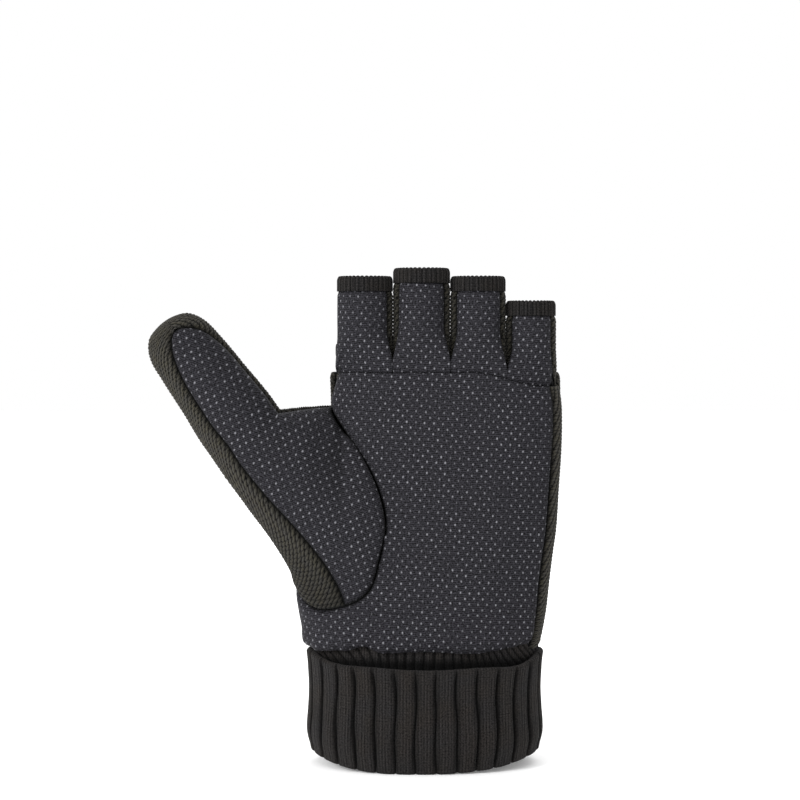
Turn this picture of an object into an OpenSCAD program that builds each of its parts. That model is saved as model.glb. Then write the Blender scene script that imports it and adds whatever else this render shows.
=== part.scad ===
// Convertible fingerless glove for a left hand, standing on its cuff.
// +Z runs from the cuff to the fingers, the palm faces -Y and the thumb points to -X.
// Four half-length finger stubs, a closed thumb, a turned-up rib cuff, and a mitten hood that is
// sewn across the knuckles and folds back over the hand, where a loop and a button hold it.

/* [Cuff] */
// Height of the turned-up layer
cuff_h = 40; // [36:0.5:41]
// Half of the outer width
cuff_half_w = 43.3; // [42:0.1:45]
// Half of the outer depth
cuff_half_d = 26.5; // [25.5:0.1:29]
// Thickness of each knitted layer
cuff_t = 2.2; // [1.6:0.1:2.4]

/* [Hand] */
// Height of the palm's lower hem
hem_z = 43; // [42:0.5:44]
// Height of the panels' top edge under the index, middle and ring fingers
hand_top_z = 143; // [141:0.5:143.5]
// Height of the panels' top edge under the little finger
pinky_top_z = 138; // [136:0.5:138.5]
// Thickness of the outer fabric
shell_t = 1.3; // [0.8:0.1:1.4]
// Thickness of the fleece lining
lining_t = 1.2; // [0.8:0.1:1.3]
// Gap between layers, and between edges that are sewn together
gap = 0.25; // [0.15:0.05:0.35]

/* [Fingers] */
// Length of the index, middle and ring stubs above their bend
finger_len = 25; // [20:1:27]
// Length of the little finger's stub above its bend
pinky_len = 22; // [18:1:24]
// Height of the rib band round each opening
band_h = 5; // [3:0.5:7]

/* [Thumb] */
// Lean of the thumb from upright
thumb_lean = 35.3; // [33:0.1:37]
// Outer radius at the bend
thumb_r = 15.2; // [14.8:0.1:15.4]
// Outer radius of the rounded tip
thumb_tip_r = 14.4; // [13.5:0.1:15]
// Distance from the bend to the middle of the tip
thumb_len = 36; // [32:1:38]

/* [Hood] */
// Length from the knuckle seam to the tip
hood_len = 86; // [84:1:87]
// Half of the width at the mouth
hood_half_w = 43.2; // [42.5:0.1:43.5]
// How far the front hem reaches past the knuckle seam
hood_lap = 10; // [8:0.5:11]
// Depth of the pocket's hollow when it is folded back
hood_hollow = 7.5; // [5:0.5:9]
// Angle between the folded hood and upright
hood_tilt = 4.3; // [4.2:0.1:5]

/* [Button] */
// Radius of the button
button_r = 6.5; // [5.5:0.1:6.8]
// Thickness of the button
button_t = 2.8; // [2:0.1:3]
// Diameter of the elastic loop's cord
loop_d = 1.8; // [1.4:0.1:2]

/* [Hidden] */

// Colours of the materials
GRIP = [0.20, 0.20, 0.22];
KNIT = [0.22, 0.21, 0.18];
RIB = [0.14, 0.13, 0.13];
FLEECE = [0.17, 0.17, 0.18];
HORN = [0.24, 0.17, 0.12];
THREAD = [0.10, 0.10, 0.10];

// The hand's sections, as [height, value]
half_width = [[43, 42.8], [51, 44.9], [58, 46.1], [72, 47.2], [86, 46.1], [106, 44.2], [124, 42.9],
              [136, 42.4], [146, 40.4]];
centre_x = [[43, -1], [58, -1.3], [72, -0.9], [86, 2.1], [106, 5.7], [124, 7.9], [146, 7.8]];
half_depth = [[43, 21], [58, 21], [72, 20.3], [86, 18.8], [106, 16.6], [124, 14.6], [136, 13.6],
              [146, 12.6]];
centre_y = [[43, 0], [58, -1.2], [72, -1.4], [86, -0.8], [106, 0], [124, 0.6], [146, 1]];
hand_power = 2.4;
cuff_power = 2.2;

// Angles round the hand: 0 is the little finger's side, 90 the palm, 180 the thumb's side
outer_seam = 25;
thumb_seam = 194;
// The thumb's opening in the palm: its widest height, and how far it reaches up, down and round
hole_z = 86;
hole_up = 46;
hole_down = 28.5;
hole_reach = 87;
// Powers of its outline: pointed at the top and blunt at the bottom
up_power = 1.6;
down_power = 5;

// Each finger as [middle in x, outer radius, height of its bend, length]
FINGERS = [[-22.2, 10.2, 154, finger_len], [-1.3, 10.4, 156, finger_len + 1],
           [19.5, 10.1, 154, finger_len], [39, 9.1, 148, pinky_len]];
finger_y = -0.5;

// The thumb's bend, and its own directions in space
thumb_bend = [-66.3, -6, 122];
thumb_axis = [-sin(thumb_lean), 0, cos(thumb_lean)];
thumb_side = [cos(thumb_lean), 0, sin(thumb_lean)];
thumb_base_drop = 8.5;
thumb_base_t = 2;
thumb_base_r = thumb_r + 0.4 + thumb_base_t;

// The knuckle seam that the hood turns about
hinge_y = 14.6;
hinge_z = 144;
hood_x = 7.8;

button_pos = [7.6, 20.7, 50];
button_gap = 3;

function signed_power(v, e) = sign(v) * pow(abs(v), e);

// A point round an oval of half sizes a and b
function oval(phi, a, b, power) =
    [a * signed_power(cos(phi), 2 / power), -b * signed_power(sin(phi), 2 / power)];

function hand_point(phi, z, inset) =
    let (p = oval(phi, lookup(z, half_width) - inset, lookup(z, half_depth) - inset, hand_power))
    [lookup(z, centre_x) + p.x, lookup(z, centre_y) + p.y, z];

function top_z(x) = lookup(x, [[26, hand_top_z], [31, pinky_top_z]]);

// How far round the opening reaches at a height, as a share of its widest
function hole_share(z) =
    let (up = (z - hole_z) / hole_up, down = (hole_z - z) / hole_down)
    up >= 1 || down >= 1 ? 0
    : up > 0 ? sqrt(1 - pow(up, up_power)) : pow(1 - pow(down, down_power), 1 / down_power);

// Where the palm's edge on the thumb's side lies, going round the thumb's opening
function palm_edge(z) = thumb_seam - hole_share(z) * hole_reach;

function flat_list(rows) = [for (row = rows) each row];

function split(a, b, c, d) = [[a, b, c], [a, c, d]];

// A closed solid between two grids of points, each a list of rows. A wrapped grid is a tube.
module shell(outer, inner, wrapped = false) {
    nu = len(outer[0]);
    nv = len(outer);
    n = nu * nv;
    last = wrapped ? nu - 1 : nu - 2;
    function at(i, j, side) = side * n + j * nu + i % nu;
    sheets = [for (j = [0:nv - 2]) for (i = [0:last]) each concat(
        split(at(i, j, 0), at(i, j + 1, 0), at(i + 1, j + 1, 0), at(i + 1, j, 0)),
        split(at(i, j, 1), at(i + 1, j, 1), at(i + 1, j + 1, 1), at(i, j + 1, 1)))];
    ends = [for (i = [0:last]) each concat(
        split(at(i, 0, 0), at(i + 1, 0, 0), at(i + 1, 0, 1), at(i, 0, 1)),
        split(at(i + 1, nv - 1, 0), at(i, nv - 1, 0), at(i, nv - 1, 1), at(i + 1, nv - 1, 1)))];
    sides = wrapped ? [] : [for (j = [0:nv - 2]) each concat(
        split(at(0, j + 1, 0), at(0, j, 0), at(0, j, 1), at(0, j + 1, 1)),
        split(at(nu - 1, j, 0), at(nu - 1, j + 1, 0), at(nu - 1, j + 1, 1), at(nu - 1, j, 1)))];
    polyhedron(points = concat(flat_list(outer), flat_list(inner)),
               faces = concat(sheets, ends, sides), convexity = 8);
}

// ---- cuff ----

// One ring of an oval tube at height z
function cuff_ring(a, b, z) =
    [for (i = [0:47]) let (p = oval(-i * 7.5, a, b, cuff_power)) [p.x, p.y, z]];

module cuff_turnup() {
    inner_w = cuff_half_w - cuff_t;
    inner_d = cuff_half_d - cuff_t;
    color(RIB) shell(
        [cuff_ring(cuff_half_w - 0.8, cuff_half_d - 0.8, 0), cuff_ring(cuff_half_w, cuff_half_d, 5),
         cuff_ring(cuff_half_w - 0.4, cuff_half_d - 0.4, cuff_h - 8),
         cuff_ring(cuff_half_w, cuff_half_d, cuff_h)],
        [cuff_ring(inner_w, inner_d, 0), cuff_ring(inner_w, inner_d, 5),
         cuff_ring(inner_w, inner_d, cuff_h - 8), cuff_ring(inner_w, inner_d, cuff_h)],
        wrapped = true);
}

// The neck, where the inner layer runs up inside the hand's hem
neck_a = lookup(hem_z, half_width) - shell_t - gap - 0.8;
neck_b = lookup(hem_z, half_depth) - shell_t - gap - 0.8;
inner_t = cuff_t - 0.4;

module cuff_inner_layer() {
    a = cuff_half_w - cuff_t - gap;
    b = cuff_half_d - cuff_t - gap;
    function wall(inset) = [for (row = [
        [a, b, 0], [a, b, 20], [a - 1.2, (b + neck_b) / 2, cuff_h - 6],
        [neck_a, neck_b, hem_z - 1.5], [neck_a, neck_b, hem_z + 3]])
        cuff_ring(row[0] - inset, row[1] - inset, row[2])];
    color(RIB) shell(wall(0), wall(inner_t), wrapped = true);
}

// The elastic that gathers the neck from inside
module wrist_elastic() {
    function ring(inset, z) = cuff_ring(neck_a - inner_t - gap - inset, neck_b - inner_t - gap - inset, z);
    function wall(inset) = [ring(inset, hem_z - 1), ring(inset, hem_z + 3)];
    color(THREAD) shell(wall(0), wall(0.8), wrapped = true);
}

// ---- hand ----

// Rows of points on the hand between two angles, from the height low to the top edge
function hand_rows(first, last, low, inset, nu, nv) =
    [for (j = [0:nv]) [for (i = [0:nu])
        let (t = j / nv,
             z0 = low + t * (hand_top_z - low),
             end = last == undef ? palm_edge(z0) : last,
             phi = first + (end - first) * i / nu,
             x = hand_point(phi, z0, inset).x,
             z = low + t * (top_z(x) - low))
        hand_point(phi, z, inset)]];

// The panels' grid. The lining's rows start one row above the hem, so that its facets lie behind
// the panel's.
hand_rows_n = 22;
hand_columns_n = 20;
lining_z = hem_z + (hand_top_z - hem_z) / hand_rows_n;

module hand_shell(first, last, low, inset, t) {
    nv = low == hem_z ? hand_rows_n : hand_rows_n - 1;
    shell(hand_rows(first, last, low, inset, hand_columns_n, nv),
          hand_rows(first, last, low, inset + t, hand_columns_n, nv));
}

module palm_panel() {
    color(GRIP) hand_shell(outer_seam + 0.3, undef, hem_z, 0, shell_t);
}

module back_panel() {
    color(KNIT) hand_shell(thumb_seam + 0.5, 360 + outer_seam - 0.3, hem_z, 0, shell_t);
}

module palm_lining() {
    color(FLEECE) hand_shell(outer_seam + 0.3, undef, lining_z, shell_t + gap, lining_t);
}

module back_lining() {
    color(FLEECE) hand_shell(thumb_seam + 0.5, 360 + outer_seam - 0.3, lining_z, shell_t + gap, lining_t);
}

// ---- thumb ----

// A ring round the thumb's axis, a distance below its bend
function thumb_ring(psi, r, drop) =
    thumb_bend - drop * thumb_axis + r * (cos(psi) * thumb_side + sin(psi) * [0, -1, 0]);

// The edge of the thumb's opening, at the same angle round the thumb
function opening_point(psi, inset) =
    let (c = cos(psi), s = max(0, sin(psi)),
         z = c > 0 ? hole_z + (hole_up - 0.4) * pow(c, 2 / up_power)
                   : hole_z - (hole_down - 0.4) * pow(-c, 2 / down_power),
         share = c > 0 ? s : pow(s, 2 / down_power))
    hand_point(thumb_seam - (hole_reach - 1) * share, z, inset);

function base_rows(from, to, inset, r) =
    [for (j = [0:4]) let (t = j / 4, ease = t * t * (3 - 2 * t)) [for (i = [0:16])
        let (psi = from + (to - from) * i / 16)
        (1 - ease) * opening_point(psi, inset) + ease * thumb_ring(psi, r, thumb_base_drop)]];

module thumb_base(from, to) {
    shell(base_rows(to, from, 0, thumb_base_r), base_rows(to, from, thumb_base_t, thumb_base_r - thumb_base_t));
}

module thumb_base_front() {
    color(GRIP) thumb_base(1, 179);
}

module thumb_base_back() {
    color(KNIT) thumb_base(181, 359);
}

// Half of a round shell's section: a ball at the foot that starts at open_r, a straight or tapering
// side, and an open end, or a ball at the tip when tip_r is given.
function ball_arc(r, from, to, z, n) =
    [for (i = [0:n]) let (a = from + (to - from) * i / n) [r * cos(a), z + r * sin(a)]];

function tube_side(r, open_r, z, tip_r) =
    concat(ball_arc(r, -acos(open_r / r), 0, 0, 6),
           tip_r == undef ? [[r, z]] : ball_arc(tip_r, 3, 90, z, 8));

function reversed(list) = [for (i = [len(list) - 1:-1:0]) list[i]];

module tube_section(r, t, open_r, z, tip_r) {
    outer = tube_side(r, open_r, z, tip_r);
    inner = tube_side(r - t, open_r - 0.4, z, tip_r == undef ? undef : tip_r - t);
    polygon(concat(outer, reversed(inner)));
}

module on_thumb() {
    translate(thumb_bend) rotate([0, -thumb_lean, 0]) children();
}

module thumb_shell(from, to, inset, t) {
    on_thumb() rotate([0, 0, from]) rotate_extrude(angle = to - from, $fn = 64)
        tube_section(thumb_r - inset, t, thumb_r - 4.4, thumb_len, thumb_tip_r - inset);
}

// The grip panel faces the palm and the knitted one wraps the outside
module thumb_front() {
    color(GRIP) thumb_shell(212, 388, 0, shell_t);
}

module thumb_back() {
    color(KNIT) thumb_shell(29, 211, 0, shell_t);
}

module thumb_lining() {
    color(FLEECE) thumb_shell(0, 360, shell_t + gap, lining_t);
}

// ---- fingers ----

module finger_shell(f, from, to, inset, t) {
    translate([f[0], finger_y, f[2]]) rotate([0, 0, from]) rotate_extrude(angle = to - from, $fn = 48)
        tube_section(f[1] - inset, t, f[1] - 2.6, f[3] - band_h - gap);
}

module finger_front(f) {
    color(GRIP) finger_shell(f, 201, 339, 0, shell_t);
}

module finger_back(f) {
    color(KNIT) finger_shell(f, -20, 200, 0, shell_t);
}

module finger_lining(f) {
    color(FLEECE) finger_shell(f, 0, 360, shell_t + gap, lining_t);
}

// The rib band round the opening
module finger_band(f) {
    color(RIB) translate([f[0], finger_y, f[2] + f[3] - band_h]) difference() {
        cylinder(r = f[1], h = band_h, $fn = 48);
        translate([0, 0, -1]) cylinder(r = f[1] - shell_t - gap - lining_t, h = band_h + 2, $fn = 48);
    }
}

// ---- hood ----

// Half the hood's width at a distance down from the knuckle seam
function hood_w(t) =
    let (s = max(0, (t - 20) / (hood_len + 1 - 20)))
    hood_half_w * pow(1 - pow(s, 2.2), 1 / 2.2);

// A point of the folded hood: x across, t along it and q away from the hand
function hood_point(x, t, q) =
    [hood_x + x, hinge_y + q * cos(hood_tilt) + t * sin(hood_tilt),
     hinge_z + q * sin(hood_tilt) - t * cos(hood_tilt)];

// A flat layer of the hood, from height q, inset from the edge
module hood_layer(start, q, t, inset) {
    nv = 16;
    function rows(q) = [for (j = [0:nv]) let (d = start + (hood_len - inset - start) * sin(90 * j / nv))
        [for (i = [0:8]) hood_point((hood_w(d) - inset) * (i / 4 - 1), d, q)]];
    shell(rows(q + t), rows(q));
}

// Heights of the hood's layers above the back of the hand
back_q = 0.3;
back_lining_q = back_q + shell_t + gap;
front_lining_q = back_lining_q + lining_t + hood_hollow;
front_q = front_lining_q + lining_t + gap;

module hood_back_panel() {
    color(KNIT) hood_layer(0.5, back_q, shell_t, 0);
}

module hood_back_lining() {
    color(FLEECE) hood_layer(2, back_lining_q, lining_t, 1.8);
}

module hood_front_lining() {
    color(FLEECE) hood_layer(band_h + gap - hood_lap, front_lining_q, lining_t, 1.8);
}

module hood_front_panel() {
    color(GRIP) hood_layer(band_h + gap - hood_lap, front_q, shell_t, 0);
}

// The rib band along the mouth's free edge
module hood_hem() {
    thick = front_q + shell_t - front_lining_q;
    function rows(q) = [for (t = [-hood_lap, band_h - hood_lap])
        [for (x = [-1, 1]) hood_point(x * hood_half_w, t, q)]];
    color(RIB) shell(rows(front_lining_q + thick), rows(front_lining_q));
}

// The knitted edge that joins the two panels round the sides and the tip
module hood_side_strip() {
    n = 14;
    function edge(inset) = [for (k = [-n:n]) let (d = 2 + (hood_len - inset - 2) * sin(90 * (1 - abs(k) / n)))
        [sign(k) * (hood_w(d) - inset), d]];
    function rows(inset) = [for (q = [back_lining_q, front_q - gap])
        [for (p = edge(inset)) hood_point(p.x, p.y, q)]];
    color(KNIT) shell(rows(1.3), rows(0.1));
}

// The elastic loop at the tip, round the button's shank
module hood_loop() {
    loop_r = 3.3;
    leg = 7.2;
    color(THREAD) translate([button_pos.x, button_pos.y + button_gap / 2, button_pos.z]) {
        rotate([90, 0, 0]) rotate([0, 0, 180]) rotate_extrude(angle = 180, $fn = 32)
            translate([loop_r, 0]) circle(d = loop_d, $fn = 24);
        for (s = [-1, 1])
            translate([s * loop_r, 0, 0]) cylinder(d = loop_d, h = leg, $fn = 24);
    }
}

// ---- button ----

hole_pitch = 1.7;
hole_r = 0.8;

module on_button() {
    translate(button_pos) rotate([-90, 0, 0]) children();
}

module button() {
    color(HORN) on_button() translate([0, 0, button_gap]) difference() {
        cylinder(r = button_r, h = button_t, $fn = 64);
        translate([0, 0, button_t - 0.9]) cylinder(r = button_r - 1.6, h = 2, $fn = 64);
        for (a = [45:90:315])
            rotate([0, 0, a]) translate([hole_pitch, 0, -1]) cylinder(r = hole_r, h = button_t + 2, $fn = 24);
    }
}

module button_thread() {
    post_r = hole_r - 0.1;
    color(THREAD) on_button() {
        translate([0, 0, 0.1]) cylinder(r = 1.9, h = button_gap - 0.2, $fn = 32);
        for (a = [45:90:315])
            rotate([0, 0, a]) translate([hole_pitch, 0, button_gap - 0.3])
                cylinder(r = post_r, h = button_t, $fn = 24);
        for (s = [-1, 1])
            translate([-hole_pitch, s * hole_pitch * sin(45) - 0.5, button_gap + button_t - 0.8])
                cube([2 * hole_pitch, 1, 0.7]);
    }
}

cuff_turnup();
cuff_inner_layer();
wrist_elastic();
palm_panel();
back_panel();
palm_lining();
back_lining();
thumb_base_front();
thumb_base_back();
thumb_front();
thumb_back();
thumb_lining();
finger_front(FINGERS[0]);  // index_front
finger_back(FINGERS[0]);  // index_back
finger_lining(FINGERS[0]);  // index_lining
finger_band(FINGERS[0]);  // index_band
finger_front(FINGERS[1]);  // middle_front
finger_back(FINGERS[1]);  // middle_back
finger_lining(FINGERS[1]);  // middle_lining
finger_band(FINGERS[1]);  // middle_band
finger_front(FINGERS[2]);  // ring_front
finger_back(FINGERS[2]);  // ring_back
finger_lining(FINGERS[2]);  // ring_lining
finger_band(FINGERS[2]);  // ring_band
finger_front(FINGERS[3]);  // pinky_front
finger_back(FINGERS[3]);  // pinky_back
finger_lining(FINGERS[3]);  // pinky_lining
finger_band(FINGERS[3]);  // pinky_band
hood_back_panel();
hood_back_lining();
hood_side_strip();
hood_front_panel();
hood_front_lining();
hood_hem();
hood_loop();
button();
button_thread();
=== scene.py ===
"""A left-hand convertible fingerless glove that stands on its turned-up cuff, palm to the camera."""
import math

import bmesh
import bpy
import numpy as np
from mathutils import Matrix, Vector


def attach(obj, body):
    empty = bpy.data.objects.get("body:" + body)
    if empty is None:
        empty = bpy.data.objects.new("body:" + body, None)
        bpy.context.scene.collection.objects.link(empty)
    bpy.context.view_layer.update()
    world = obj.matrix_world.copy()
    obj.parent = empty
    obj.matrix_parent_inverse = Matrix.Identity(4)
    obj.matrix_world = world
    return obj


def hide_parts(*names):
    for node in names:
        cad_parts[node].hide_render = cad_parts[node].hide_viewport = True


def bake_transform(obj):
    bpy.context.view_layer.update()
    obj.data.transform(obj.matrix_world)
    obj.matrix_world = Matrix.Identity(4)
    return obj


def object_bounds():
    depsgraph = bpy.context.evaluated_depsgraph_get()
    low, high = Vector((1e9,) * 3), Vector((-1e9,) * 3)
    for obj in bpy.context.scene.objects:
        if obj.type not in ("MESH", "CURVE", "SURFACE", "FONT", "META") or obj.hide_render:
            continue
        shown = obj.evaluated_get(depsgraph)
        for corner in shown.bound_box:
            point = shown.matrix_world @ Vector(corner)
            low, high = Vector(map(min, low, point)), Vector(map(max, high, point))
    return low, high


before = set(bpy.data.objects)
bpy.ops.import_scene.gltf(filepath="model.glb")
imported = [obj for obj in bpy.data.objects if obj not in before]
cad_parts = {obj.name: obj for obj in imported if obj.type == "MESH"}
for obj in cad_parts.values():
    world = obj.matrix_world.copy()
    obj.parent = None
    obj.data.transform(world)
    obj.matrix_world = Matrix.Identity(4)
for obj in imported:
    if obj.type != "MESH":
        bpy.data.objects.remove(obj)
cad_low, cad_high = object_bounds()

# ---- Studio ----
# A white floor that runs into a white surround, one large soft light above and left of the palm,
# a weaker one from the right and one behind. The camera is level with the middle of the glove.
VIEW_WIDTH = 0.296
CAMERA_DISTANCE = 0.70
CAMERA_TILT = 1.5
SENSOR = 36.0
FRAME_ASIDE, FRAME_UP = 0.0160, 0.1339


def linear(code):
    """The linear colour of an sRGB hex code."""
    parts = np.array([int(code[i:i + 2], 16) for i in (1, 3, 5)]) / 255
    return tuple(np.where(parts <= 0.04045, parts / 12.92, ((parts + 0.055) / 1.055) ** 2.4)) + (1.0,)


look_at = ((cad_low.x + cad_high.x) / 2 + FRAME_ASIDE, 0.0, FRAME_UP)
camera = bpy.data.objects.new("camera", bpy.data.cameras.new("camera"))
camera.data.lens = SENSOR * CAMERA_DISTANCE / VIEW_WIDTH
camera.data.sensor_width = SENSOR
camera.data.clip_start = 0.01
tilt = math.radians(CAMERA_TILT)
camera.location = (look_at[0], -CAMERA_DISTANCE * math.cos(tilt),
                   look_at[2] + CAMERA_DISTANCE * math.sin(tilt))
camera.rotation_euler = (math.pi / 2 - tilt, 0, 0)
bpy.context.scene.collection.objects.link(camera)
bpy.context.scene.camera = camera


def soft_light(name, place, size, watts):
    """A square area light at place that faces the middle of the glove."""
    lamp = bpy.data.lights.new(name, "AREA")
    lamp.size = size
    lamp.energy = watts
    light = bpy.data.objects.new(name, lamp)
    light.location = place
    aim = np.array(look_at) - np.array(place)
    across = math.atan2(-aim[0], aim[1])
    light.rotation_euler = (math.atan2(math.hypot(aim[0], aim[1]), -aim[2]), 0, across)
    bpy.context.scene.collection.objects.link(light)


soft_light("key", (-1.10, -0.85, 0.70), 0.5, 17)
soft_light("fill", (0.9, -0.8, 0.35), 0.9, 0.5)
soft_light("back", (0.2, 0.9, 0.8), 0.8, 6)

world = bpy.data.worlds.new("surround")
world.use_nodes = True
world.node_tree.nodes["Background"].inputs["Color"].default_value = (1, 1, 1, 1)
world.node_tree.nodes["Background"].inputs["Strength"].default_value = 1.0
bpy.context.scene.world = world
bpy.context.scene.view_settings.view_transform = "Standard"

floor_mesh = bpy.data.meshes.new("floor")
floor_mesh.from_pydata([(-4, -4, 0), (4, -4, 0), (4, 4, 0), (-4, 4, 0)], [], [(0, 1, 2, 3)])
floor = bpy.data.objects.new("floor", floor_mesh)
bpy.context.scene.collection.objects.link(floor)
floor_paint = bpy.data.materials.new("white_floor")
floor_paint.use_nodes = True
floor_shader = floor_paint.node_tree.nodes["Principled BSDF"]
for key, value in (("Base Color", linear("#fafafa")), ("Roughness", 0.9), ("Emission Color", (1, 1, 1, 1)),
                   ("Emission Strength", 0.14)):
    floor_shader.inputs[key].default_value = value
floor_mesh.materials.append(floor_paint)

# ---- Rib cuff ----
# One knitted tube of black acrylic and wool yarn, five plain stitches wide to each rib, turned up on
# itself: the outer layer ends in a free edge, and the inner layer runs on up into the palm as a neck.
CUFF_W, CUFF_D = 43.0, 26.3
CUFF_POWER = 2.2
CUFF_T = 2.3
RIBS = 30
WALES = 5
RIM_Z = 38.0
WALE_W, STITCH_V = 1.07, 0.95
MM_PER_M = 1000.0


def node(tree, kind, *values, output=0, **settings):
    """Adds one shader node: its settings, and for each input a value or the output to join, in the
    inputs' order or, in a dictionary, by name or number. Hands back one of its outputs."""
    made = tree.nodes.new("ShaderNode" + kind)
    for key, value in settings.items():
        setattr(made, key, value)
    by_name = values[0] if values and isinstance(values[0], dict) else dict(enumerate(values))
    for key, value in by_name.items():
        if isinstance(value, bpy.types.NodeSocket):
            tree.links.new(value, made.inputs[key])
        else:
            made.inputs[key].default_value = value
    return made.outputs[output]


def cloth(name, roughness, sheen):
    """A new material with a dull, slightly hazy fabric surface, and its node tree."""
    material = bpy.data.materials.new(name)
    material.use_nodes = True
    shader = material.node_tree.nodes["Principled BSDF"]
    for key, value in (("Roughness", roughness), ("Specular IOR Level", 0.08), ("Sheen Weight", sheen),
                       ("Sheen Roughness", 0.5)):
        shader.inputs[key].default_value = value
    return material, material.node_tree


def dress(tree, colour, height, depth, strength):
    """Gives a cloth its colour, and a relief that is depth millimetres high."""
    shader = tree.nodes["Principled BSDF"]
    tree.links.new(colour, shader.inputs["Base Color"])
    relief = node(tree, "Bump", {"Height": height, "Distance": depth / MM_PER_M, "Strength": strength})
    tree.links.new(relief, shader.inputs["Normal"])


def graded_colour(tree, height, hollow, top, hollow_at=0.0, top_at=1.0):
    """A colour that runs from one shade in a pattern's hollows to another on its tops."""
    colour = node(tree, "ValToRGB", height)
    stops = colour.node.color_ramp.elements
    for stop, place, shade in zip(stops, (hollow_at, top_at), (hollow, top)):
        stop.position = place
        stop.color = linear(shade)
    return colour


def times(tree, colour, other):
    """One colour multiplied by another."""
    return node(tree, "Mix", {"Factor": 1.0, 6: colour, 7: other}, output=2, data_type="RGBA",
                blend_type="MULTIPLY")


def hump(tree, phase):
    """1 in the middle of each whole step of a phase and 0 at its ends, as a parabola."""
    part = node(tree, "Math", phase, operation="FRACT")
    off = node(tree, "Math", part, 2.0, -1.0, operation="MULTIPLY_ADD")
    square = node(tree, "Math", off, off, operation="MULTIPLY")
    return node(tree, "Math", 1.0, square, operation="SUBTRACT")


def rib_knit():
    """Plain-stitch ribs in soft black yarn: each column is a chain of V stitches, dull and hazy. Its
    colour holds painted shade: darker in the stitches' hollows and where the mesh's painted shade falls.
    """
    material, tree = cloth("black_rib_knit", 0.9, 0.03)
    place = node(tree, "UVMap", uv_map="cloth")
    across = node(tree, "SeparateXYZ", place)
    column = node(tree, "Math", across, WALE_W / MM_PER_M, operation="DIVIDE")
    column = node(tree, "Math", column, operation="FRACT")
    off = node(tree, "Math", column, 2.0, -1.0, operation="MULTIPLY_ADD")
    lean = node(tree, "Math", off, operation="ABSOLUTE")
    row = node(tree, "Math", across.node.outputs[1], STITCH_V / MM_PER_M, operation="DIVIDE")
    stitch = hump(tree, node(tree, "Math", lean, 0.55, row, operation="MULTIPLY_ADD"))
    stitch = node(tree, "Math", stitch, 0.5, 0.5, operation="MULTIPLY_ADD")
    groove = node(tree, "Math", lean, 3.0, operation="POWER")
    chain = node(tree, "Math", 1.0, groove, operation="SUBTRACT")
    height = node(tree, "Math", chain, stitch, operation="MULTIPLY")
    fibre = node(tree, "TexNoise", {"Vector": place, "Scale": 1.7 * MM_PER_M, "Detail": 4.0})
    fibre = node(tree, "Math", fibre, 0.5, operation="SUBTRACT")
    height = node(tree, "Math", fibre, 3.2, height, operation="MULTIPLY_ADD")
    # Painted shade: the mesh's point attribute darkens the stitch tone in rib valleys, along seams and low
    # on the neck.
    depth = node(tree, "Attribute", output="Fac", attribute_name="painted_shading")
    lit = node(tree, "Math", height, 0.62, 0.16, operation="MULTIPLY_ADD")
    lit = node(tree, "Math", lit, depth, operation="MULTIPLY")
    drift = node(tree, "TexNoise", {"Vector": place, "Scale": 0.09 * MM_PER_M, "Detail": 3.0})
    tint = graded_colour(tree, drift, "#f6f7fc", "#fff8f2", 0.35, 0.65)
    dress(tree, times(tree, graded_colour(tree, lit, "#050505", "#312f2e"), tint), height, 0.3, 0.8)
    return material


def facing(grid, wrapped=False):
    """Unit normals of a grid of points: its line upwards crossed with its line across."""
    if wrapped:
        across = np.roll(grid, -1, 1) - np.roll(grid, 1, 1)
    else:
        across = np.gradient(grid, axis=1)
    turned = np.cross(np.gradient(grid, axis=0), across)
    return turned / np.maximum(np.linalg.norm(turned, axis=-1, keepdims=True), 1e-9)


def piece(name, points, faces, corners, material, painted_shading=1.0):
    """A mesh object from points in millimetres, faces, and a place on the cloth for each corner. The last
    argument
    is painted shade on the points: 1 on open cloth, falling towards 0 in seams, creases and hollows where
    shade falls."""
    mesh = bpy.data.meshes.new(name)
    mesh.from_pydata(points / MM_PER_M, [], faces)
    layer = mesh.uv_layers.new(name="cloth")
    layer.data.foreach_set("uv", (corners / MM_PER_M).astype(np.float32).ravel())
    # The point attribute holds painted shade, which the cloth materials multiply into their colour.
    mark = mesh.attributes.new("painted_shading", "FLOAT", "POINT")
    mark.data.foreach_set("value", (np.ones(len(points)) * painted_shading).astype(np.float32))
    mesh.materials.append(material)
    mesh.polygons.foreach_set("use_smooth", np.ones(len(mesh.polygons), bool))
    made = bpy.data.objects.new(name, mesh)
    bpy.context.scene.collection.objects.link(made)
    return made


def weld(made, distance=2e-6):
    """Joins points that lie on each other, as where a grid closes at a tip."""
    work = bmesh.new()
    work.from_mesh(made.data)
    bmesh.ops.remove_doubles(work, verts=work.verts, dist=distance)
    bmesh.ops.dissolve_degenerate(work, edges=work.edges, dist=distance)
    work.to_mesh(made.data)
    work.free()


def grid_faces(ids, cloth_at, turned):
    """Four-sided faces between a grid's points, each with its corners' places on the cloth."""
    square = [(slice(None, -1), slice(None, -1)), (slice(1, None), slice(None, -1)),
              (slice(1, None), slice(1, None)), (slice(None, -1), slice(1, None))]
    square = square[::-1] if turned else square
    faces = np.stack([ids[s] for s in square], -1).reshape(-1, 4)
    corners = np.stack([cloth_at[s] for s in square], -2).reshape(-1, 2)
    return faces.tolist(), corners


def edge_faces(outer, inner, cloth_out, cloth_in, step, turned):
    """Faces that close one edge: each joins one length of the inner edge to step lengths of the outer."""
    pick = np.arange(len(inner) - 1)[:, None] * step + np.arange(step + 1)
    faces = np.hstack([outer[pick], inner[1:, None], inner[:-1, None]])
    corners = np.concatenate([cloth_out[pick], cloth_in[1:, None], cloth_in[:-1, None]], 1)
    if turned:
        faces, corners = faces[:, ::-1], corners[:, ::-1]
    return faces.tolist(), corners.reshape(-1, 2)


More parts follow.
